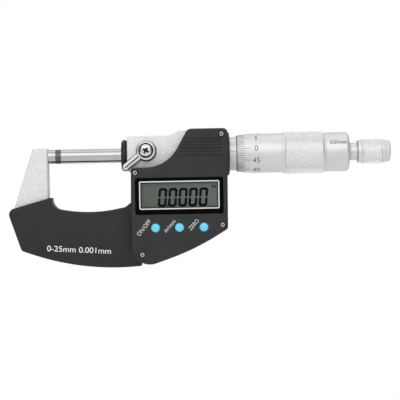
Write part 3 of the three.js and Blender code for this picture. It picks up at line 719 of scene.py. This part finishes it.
def build_display():
    wx0, wx1, wz0, wz1 = WINDOW
    gx0, gx1, gz0, gz1 = GLASS
    y0, y1 = span("display_window", 1)
    panel = slab([(wx0, wz0, 1), (wx1, wz0, 1), (wx1, wz1, 1), (wx0, wz1, 1)], y0, y1, 0.15)
    piece("display_panel", combine(panel, inset(RIM + 0.02, 0.3, y0 - 1, y1 + 1)), GLOSS, "frame_body",
          "display_window", slot="gloss_black")
    b0, b1 = span("display_bezel", 1)
    rim = slab([(gx0, gz0, 0.7), (gx1, gz0, 0.7), (gx1, gz1, 0.7), (gx0, gz1, 0.7)], b0, b1, 0.08)
    inner = inset(RIM, 0.3, b0 - 1, b1 + 1)
    piece("display_rim", combine(rim, inner), WHITE, "frame_body", "display_bezel", slot="white_print")
    l0, l1 = span("lcd_panel", 1)
    glass = slab([(gx0, gz0, 0.3), (gx1, gz0, 0.3), (gx1, gz1, 0.3), (gx0, gz1, 0.3)], l0, l1, 0.1)
    piece("lcd_glass", glass, LCD, "frame_body", "lcd_panel", slot="lcd")
    # painted shadow: a dark band round the inside of the white line, where the recessed glass lies in shade
    recess_shadow = combine(inset(RIM, 0.3, l0 - 0.06, l0 + 0.02), inset(RIM + 0.4, 0.2, l0 - 1, l0 + 1))
    piece("lcd_recess_shadow", recess_shadow, INK_AND_SHADE, "frame_body", slot="gloss_black")
    height, width, thick, slant = 8.45, 3.95, 1.15, 0.08
    middle, first, pitch = -19.4, 47.15, 4.56
    bars = []
    for k in range(5):
        bars += digit(first + k * pitch, middle, width, height, thick, slant, l0)
    bars.append(post(first + 2.15, middle - 3.75, l0 - 0.03, l0 + 0.02, 0.42, 0, 16))
    bars.append(face_text("in", 70.2, -14.6, 1.65, 0, l0, 1.35, 0.02))
    piece("lcd_digits", merged(bars), LCD_INK, "frame_body", slot="gloss_black")

    for name, x in BUTTONS.items():
        y = span(name, 1)[0]
        cap = turned_post([(y, 0), (y + 0.03, 1.4, 2), (y + 0.3, 1.82, 0.25), (-11.0, 1.86), (-11.0, 2.75),
                           (-10.3, 2.75, 0.1), (-10.3, 1.2), (-9.6, 1.2), (-9.6, 0)], x, BUTTON_Z)
        body = name.removeprefix("button_") + "_button"
        piece(name + "_cap", cap, BLUE, body, name, slot="blue_plastic")
    for name, text, x, z, tilt, wide in (("label_power", "ON/OFF", 38.6, -32.7, 50, 0.9),
                                         ("label_unit", "in/mm", 50.1, -32.1, 47.5, 1.02),
                                         ("label_zero", "ZERO", 60.9, -31.7, 48, 0.84)):
        piece(name, face_text(text, x, z, 1.85, tilt, FACE_Y, wide, -0.018), PRINT, "frame_body",
              slot="white_print")


# ---------------------------------------------------------------- spindle, barrel, thimble, ratchet
def build_spindle():
    piece("spindle_carbide", lathe([(0, 0), (0, 3.24, 0.08), (1.3, 3.24), (1.3, 0)]), TIP,
          "spindle_body", "spindle_tip", slot="carbide")
    shaft = lathe([(1.3, 0), (1.3, SPINDLE_R), (77, SPINDLE_R), (77.3, 3.05), (121, 3.05), (128.5, 2.9),
                   (128.5, 1.35), (117.4, 1.35), (117.4, 0)], 96)
    keyway = block(38, 67.5, -0.6, 0.6, 2.3, 5)
    piece("spindle_shaft", combine(shaft, keyway), GROUND, "spindle_body", "spindle", slot="steel")
    x0, x1 = span("seal_collar", 0)
    x0 -= SEAL_FORWARD
    ring_profile = [(x0, 3.6, 0.15), (x0, 6.2, 0.4), (x0 + 0.8, 7.1, 0.4), (x0 + 1.9, 7.1, 0.15),
                    (x0 + 2.1, 6.7, 0.1), (x1, 6.7), (x1, 5.1), (x0 + 1, 5.1), (x0 + 1, 3.6)]
    piece("seal_ring", lathe(ring_profile, 96), RUBBER, "frame_body", "seal_collar", slot="gloss_black")
    # painted highlight: a band of lighter dark-grey plastic round the seal ring's front stands for its
    # reflection
    piece("seal_highlight_band", ring(x0 + 0.95, x0 + 1.7, 7.14, 6.9, 96), SHELL, "frame_body", slot="gloss_black")


def build_sleeve():
    x0, x1 = SLEEVE_X, span("sleeve", 0)[1]
    piece("barrel_sleeve", lathe([(x0, 6.8), (x0, SLEEVE_R, 0.08), (x1, SLEEVE_R, 0.2), (x1, 6.8)], 120),
          SATIN, "frame_body", "sleeve", slot="satin_chrome")
    zero = THIMBLE_X
    marks = [stroke(x0 + 0.25, zero + 26, SLEEVE_R, SLEEVE_R, INDEX, 0.16)]
    for i in range(51):
        x = zero + 0.5 * i
        if i % 2:
            low, high = -12.5, -1.5
        else:
            low, high = 1.5, 22 if i % 10 == 0 else 14.5
        steps = 6
        for k in range(steps):
            a = INDEX + low + (high - low) * k / steps
            b = INDEX + low + (high - low) * (k + 1) / steps
            middle, width = (a + b) / 2, math.radians(b - a) * SLEEVE_R * 1.01
            marks.append(stroke(x - 0.06, x + 0.06, SLEEVE_R, SLEEVE_R, middle, width))
    for i in range(5, 26, 5):
        marks.append(wrapped(lettering(str(i), 1.9, 0.06, 0.85), SLEEVE_R, INDEX + 31, zero + i))
    piece("sleeve_scale", merged(marks), INK_AND_SHADE, "frame_body", slot="gloss_black")


def thimble_radius(x):
    """The thimble's outside in front of the knurl."""
    if x < 86.7:
        return 8.15 + (8.85 - 8.15) * (x - THIMBLE_X) / (86.7 - THIMBLE_X)
    return 8.85 + 0.05 * (x - 86.7) / (101.6 - 86.7)


def build_thimble():
    x0, bore, (k0, k1) = THIMBLE_X, THIMBLE_BORE, KNURL_X
    front = lathe([(x0 + 0.1, bore), (x0 + 0.1, 8.14, 0.06), (86.7, 8.85, 6), (101.1, THIMBLE_R, 1.5),
                   (101.8, 9.2, 0.4), (102.4, 9.2, 0.15), (k0, 9.45), (k0, bore)], 160)
    # painted shadow: a dark ring at the thimble's front edge stands for the shadow gap over the sleeve
    edge_shadow = lathe([(x0 - 0.22, bore), (x0 - 0.22, 7.85), (x0 + 0.05, 8.1, 0.05), (x0 + 0.1, 8.1),
                 (x0 + 0.1, bore)], 160)
    piece("thimble_edge_shadow", edge_shadow, INK_AND_SHADE, "spindle_body", slot="gloss_black")
    back = lathe([(k1, bore), (k1, 9.4), (120.2, 9.2, 0.1), (120.5, 8.7, 0.1), (121.0, 8.7, 0.1),
                  (121.2, THIMBLE_R, 0.1), (130.6, THIMBLE_R, 0.8), (131.6, 8.0, 1.2), (132, 5.0, 0.4),
                  (132, 1.4), (129, 1.4), (129, 3.12), (122, 3.12), (122, bore)], 160)
    band = knurled([(k1, bore), (k0, bore)], k0, k1, KNURL_R, 48, 13, KNURL_DEPTH, 0.3)
    for name, mesh, metal, nodes in (("thimble_sleeve", front, SATIN, ("thimble",)),
                                     ("thimble_knurl", band, KNURL, ()), ("thimble_tail", back, SATIN, ())):
        piece(name, mesh, metal, "spindle_body", *nodes, slot="satin_chrome", sharp=40)
    zero, number_x = INDEX + DIVISION, 89.6
    short = ((x0 + 0.15, 84.4),)
    long = ((x0 + 0.15, 86.5), (86.45, 87.1))  # two strokes that overlap where the cone ends
    marks = []
    for k in range(50):
        angle = zero + DIVISION * k
        for a, b in short if k % 5 else long:
            marks.append(stroke(a, b, thimble_radius(a), thimble_radius(b), angle, 0.17))
        if k % 5 == 0:
            number = lettering(str(k), 2.5, 0.08, 0.95, -0.012)
            marks.append(wrapped(number, thimble_radius(number_x), angle, number_x))
    piece("thimble_scale", merged(marks), INK_AND_SHADE, "spindle_body", slot="gloss_black")
    text = wrapped(lettering("0.01mm", 1.9, 0.08, 0.84, 0.006), THIMBLE_R, 28, 126.5)
    piece("thimble_division_text", text, INK_AND_SHADE, "spindle_body", slot="gloss_black")


def ratchet_teeth(x, height):
    """A ring of sawteeth on the face at x, between radii 2.4 and 3.9."""
    width, count = 1.1, 12
    teeth = []
    for k in range(count):
        tooth = slab([(0, -width / 2), (0, width / 2), (height, 0.05 - width / 2)], 2.4, 3.9)
        tooth.transform(Matrix.Translation((x, 0, 0)) @ Matrix.Rotation(2 * math.pi * k / count, 4, "X"))
        teeth.append(tooth)
    return combine(*teeth, how="UNION")


def build_ratchet():
    neck_x = span("ratchet_shaft", 0)[0], span("thimble", 0)[1] + 0.1
    neck = lathe([(neck_x[0], 0), (neck_x[0], 1.25), (neck_x[1], 1.25), (neck_x[1], NECK_R - 0.35),
                  (neck_x[1] + 0.3, NECK_R - 0.35), (neck_x[1] + 0.3, NECK_R, 0.12), (135.6, NECK_R, 0.12),
                  (135.6, 1.6), (147.6, 1.6), (147.6, 0.9), (142, 0.9), (142, 0)], 96)
    teeth = ratchet_teeth(135.58, 0.36)
    piece("ratchet_post", combine(neck, teeth, how="UNION"), SATIN, "spindle_body", "ratchet_shaft",
          slot="satin_chrome")
    screw = lathe([(142.2, 0), (142.2, 0.8), (147.7, 0.8), (147.7, 2.6, 0.1), (148.5, 2.6, 0.25),
                   (149, 2.1, 0.5), (149, 0)], 64)
    piece("ratchet_cap_screw", combine(screw, block(148.4, 150, -3, 3, -0.3, 0.3)), STEEL, "spindle_body",
          "ratchet_end_screw", slot="steel")
    k0, k1 = KNOB_KNURL_X
    band = knurled([(k1, KNOB_BORE), (k0, KNOB_BORE)], k0, k1, KNOB_R, 28, 6, KNOB_KNURL_DEPTH, 0.25)
    piece("ratchet_knob_knurl", band, KNOB_KNURL, "ratchet", slot="satin_chrome", sharp=40)
    collar = lathe([(KNOB_X, KNOB_BORE), (KNOB_X, 5.1, 0.12), (137.4, 5.15, 0.1), (137.7, 5.4, 0.1),
                    (k0, 5.5), (k0, KNOB_BORE)], 120)
    piece("ratchet_knob_collar", collar, SATIN, "ratchet", slot="satin_chrome")
    tail = lathe([(k1, KNOB_BORE), (k1, 5.1), (146.65, 5.05, 0.05), (146.75, 5.3, 0.1), (148.1, 5.1, 0.1),
                  (148.3, 4.95, 0.1), (150, 4.75, 0.4), (KNOB_END, 4.2, 0.3), (KNOB_END, 3.1, 0.15),
                  (147.55, 3.1), (147.55, 1.7), (146.2, 1.7), (146.2, KNOB_BORE)], 120)
    piece("ratchet_knob_end", tail, SATIN, "ratchet", "ratchet_knob", slot="satin_chrome")


# ---------------------------------------------------------------- lock and battery cap
def build_lock():
    """The pan-head screw in its ringed hub, and the grooved lever that reaches down to the left."""
    x, z = LOCK
    tip = Vector((30.9, -5.5)) - Vector((x, z))
    degrees = -math.degrees(math.atan2(tip.y, tip.x))
    reach, half = tip.length, 1.45
    hub = turned_post([(-11.2, 0), (-11.2, 3.95, 0.2), (-10.75, 4.3, 0.3), (-8.5, 4.3, 0.1), (-8.5, 0)],
                      0.06, 0.25, 128)
    hub = combine(hub, post(0, 0, -12, -9, 3.4), post(0, 0, -12, -8, 1.35))

    def bar(width, start, end, y0, y1, rim):
        outline = [(start, -width), (end, -width, width - 0.01), (end, width, width - 0.01), (start, width)]
        return slab(outline, y0, y1, rim)

    arm = combine(bar(half, 2.4, reach + half, -10.6, -8.5, 0.45), post(0, 0, -12, -8, 3.5))
    groove = bar(0.25, 4.2, reach + 0.3, -12, -10.2, 0)
    lever = combine(combine(hub, arm, how="UNION"), groove)
    piece("lock_arm", turn_y(lever, degrees, x, z), CHROME, "lock", "lock_lever", slot="bright_chrome")
    # painted shade: dark fills in the bottom of the arm's groove and of the ring groove round the screw
    # head
    shade = bar(0.24, 4.22, reach + 0.28, -10.4, -10.15, 0)
    hub_groove_shade = turned_post([(-9.35, 1.3), (-9.35, 3.38), (-9.02, 3.38), (-9.02, 1.3)], 0, 0, 64)
    piece("lock_groove_shade", turn_y(merged([shade, hub_groove_shade]), degrees, x, z), INK_AND_SHADE, "lock", slot="gloss_black")
    # painted shadow: a dark pad under the hub and arm, a little wider than they are, whose rim shows round
    # them as their shadow outline
    under_hub = combine(post(0.08, 0.32, -8.48, -8.1, 4.6, 0, 96), post(0, 0, -9, -7, 1.5))
    under_arm = combine(bar(half + 0.32, 2.4, reach + half + 0.25, -8.48, -8.1, 0),
                        post(0, 0, -12, -7, 2.0))
    outline_shadow = combine(under_hub, under_arm, how="UNION")
    piece("lock_outline_shadow", turn_y(outline_shadow, degrees, x, z), RUBBER, "lock", slot="gloss_black")

    head = turned_post([(-12.0, 0), (-12.0, 1.1, 1.2), (-11.75, 2.1, 1.0), (-11.1, 2.88, 0.35),
                        (-10.5, 2.88, 0.1), (-10.3, 2.6), (-10.3, 1.2), (-5.6, 1.2), (-5.6, 0)], 0, 0, 96)
    screw = combine(head, cross_recess(1.5, 1.0, -13, -11.0, 0, 0, 0))
    turned = 32  # degrees the recess stands turned by
    piece("lock_pan_screw", turn_y(screw, turned, x, z), CHROME, "lock", "lock_screw", slot="bright_chrome")
    # painted shade: a dark cross set in the driver recess so it reads as a shaded hollow
    piece("lock_screw_recess_shade", cross_recess(1.48, 0.98, -11.6, -11.02, x, z, turned), INK_AND_SHADE, "lock",
          slot="gloss_black")


def build_battery_cap():
    x, z = CAP
    rim = turned_post([(10.95, 0), (10.95, 6), (11.45, 6), (11.45, 7.25), (BACK_Y, 7.25, 0.35),
                       (BACK_Y, 6.3, 0.15), (BACK_Y - 0.25, 6.1, 0.15), (BACK_Y - 0.25, 0)], x, z, 96)
    coin_slot = slab([(-5.2, -0.8, 0.75), (5.2, -0.8, 0.75), (5.2, 0.8, 0.75), (-5.2, 0.8, 0.75)], 12, 14)
    piece("battery_cover", combine(rim, turn_y(coin_slot, 35, x, z)), SHELL, "cap", "battery_cap",
          slot="dark_plastic")
    seal = turned_post([(11, 6.1, 0.1), (11, 7.1, 0.15), (11.4, 7.1, 0.15), (11.4, 6.1, 0.1)], x, z, 80)
    piece("battery_cover_seal", seal, RUBBER, "cap_seal", "battery_cap_seal", slot="black_rubber")


build_frame()
build_grips()
build_housing()
build_display()
build_spindle()
build_sleeve()
build_thimble()
build_ratchet()
build_lock()
build_battery_cap()

INSIDE = {
    "front_bush": BRASS, "rear_bush": BRASS, "lock_shoe": BRASS, "rotor_bush": BRASS,
    "battery_contact_negative": BRASS, "battery_contact_positive": BRASS, "encoder_flex": COPPER,
    "spindle_wiper": RUBBER, "lcd_connector": RUBBER, "main_board": BOARD, "encoder_stator": BOARD,
    "rotor_disc": BOARD, "controller_chip": CHIP, "ratchet_shaft": SATIN,
}
for name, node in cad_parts.items():
    node.data.materials.clear()
    node.data.materials.append(INSIDE.get(name, STEEL))


# ---------------------------------------------------------------- stage, light, camera
def area_light(name, place, target, size, power):
    data = bpy.data.lights.new(name, "AREA")
    data.shape = "RECTANGLE"
    data.size, data.size_y = size
    data.energy = power
    obj = bpy.data.objects.new(name, data)
    bpy.context.scene.collection.objects.link(obj)
    obj.location = place
    obj.rotation_mode = "QUATERNION"
    obj.rotation_quaternion = (Vector(place) - Vector(target)).to_track_quat("Z", "Y")


FLOOR_RADIUS, FLOOR_DROP = 6.0, 1.0  # metres; the drop is below the tool
LENS = 138.6  # mm, on a sensor 36 mm wide
CAMERA_PLACE = Vector((0.06386, -0.7, -0.0208))  # metres from the closed measuring faces
CAMERA_ROLL = -1.05  # degrees
# Brightness of the studio round the tool's long axis, in degrees up from the front.
STUDIO = ((-180, 0.4), (-60, 0.6), (-10, 0.8), (4, 0.9), (16, 1.3), (44, 1.3), (56, 0.64), (68, 0.62),
          (78, 1.3), (108, 1.3), (120, 0.85), (165, 0.85), (180, 0.5))


def build_studio():
    """Soft light all round, in bands about the long axis and darker towards its ends; seen as white."""
    world = bpy.data.worlds.new("studio")
    bpy.context.scene.world = world
    world.use_nodes = True
    tree = world.node_tree

    def link(a, b):
        tree.links.new(a, b)

    def math_node(kind, *inputs):
        node = tree.nodes.new("ShaderNodeMath")
        node.operation = kind
        for socket, value in zip(node.inputs, inputs):
            if isinstance(value, bpy.types.NodeSocket):
                link(value, socket)
            else:
                socket.default_value = value
        return node.outputs[0]

    direction = tree.nodes.new("ShaderNodeSeparateXYZ")
    link(tree.nodes.new("ShaderNodeTexCoord").outputs["Generated"], direction.inputs[0])
    forward = math_node("MULTIPLY", direction.outputs["Y"], -1.0)
    angle = math_node("ARCTAN2", direction.outputs["Z"], forward)
    turn = math_node("MULTIPLY_ADD", angle, 0.5 / math.pi, 0.5)
    ramp = tree.nodes.new("ShaderNodeValToRGB")
    ramp.color_ramp.interpolation = "B_SPLINE"
    link(turn, ramp.inputs["Fac"])
    stops = ramp.color_ramp.elements
    while len(stops) < len(STUDIO):
        stops.new(0.5)
    for stop, (degrees, value) in zip(stops, STUDIO):
        stop.position = (degrees + 180) / 360
        stop.color = (value / 2, value / 2, value / 2, 1)
    ends = tree.nodes.new("ShaderNodeMapRange")
    ends.interpolation_type = "SMOOTHSTEP"
    link(math_node("ABSOLUTE", direction.outputs["X"]), ends.inputs["Value"])
    for name, value in (("From Min", 0.55), ("From Max", 0.9), ("To Min", 2.0), ("To Max", 0.6)):
        ends.inputs[name].default_value = value
    light = tree.nodes["Background"]
    light.inputs["Color"].default_value = (1, 1, 1, 1)
    link(math_node("MULTIPLY", ramp.outputs["Color"], ends.outputs[0]), light.inputs["Strength"])
    seen = tree.nodes.new("ShaderNodeBackground")
    seen.inputs["Color"].default_value = (1, 1, 1, 1)
    mix = tree.nodes.new("ShaderNodeMixShader")
    link(tree.nodes.new("ShaderNodeLightPath").outputs["Is Camera Ray"], mix.inputs["Fac"])
    link(light.outputs[0], mix.inputs[1])
    link(seen.outputs[0], mix.inputs[2])
    link(mix.outputs[0], tree.nodes["World Output"].inputs["Surface"])


def build_stage():
    low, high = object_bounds()
    middle = (low + high) / 2
    bm = bmesh.new()
    bmesh.ops.create_circle(bm, cap_ends=True, segments=128, radius=FLOOR_RADIUS)
    mesh = bpy.data.meshes.new("floor")
    bm.to_mesh(mesh)
    bm.free()
    floor = bpy.data.objects.new("floor", mesh)
    floor.location = (middle.x, 0, low.z - FLOOR_DROP)
    bpy.context.scene.collection.objects.link(floor)
    pale = Nodes("pale_floor", 0.8, 0.0)
    pale.colour(pale.noise(2, 2), grey(0.95), grey(0.97))
    floor.data.materials.append(pale.material)

    build_studio()
    area_light("key", middle + Vector((-0.2, -0.9, 0.75)), middle, (1.6, 0.8), 2.4)

    data = bpy.data.cameras.new("camera")
    camera = bpy.data.objects.new("camera", data)
    bpy.context.scene.collection.objects.link(camera)
    bpy.context.scene.camera = camera
    data.sensor_width = 36
    data.lens = LENS
    data.clip_start, data.clip_end = 0.01, 50
    camera.location = AXIS + CAMERA_PLACE
    camera.rotation_mode = "QUATERNION"
    camera.rotation_quaternion = (Matrix.Rotation(math.pi / 2, 3, "X")
                                  @ Matrix.Rotation(math.radians(CAMERA_ROLL), 3, "Z")).to_quaternion()
    view = bpy.context.scene.view_settings
    view.view_transform = "Standard"
    view.look = "None"
    view.exposure = 0.0


build_stage()
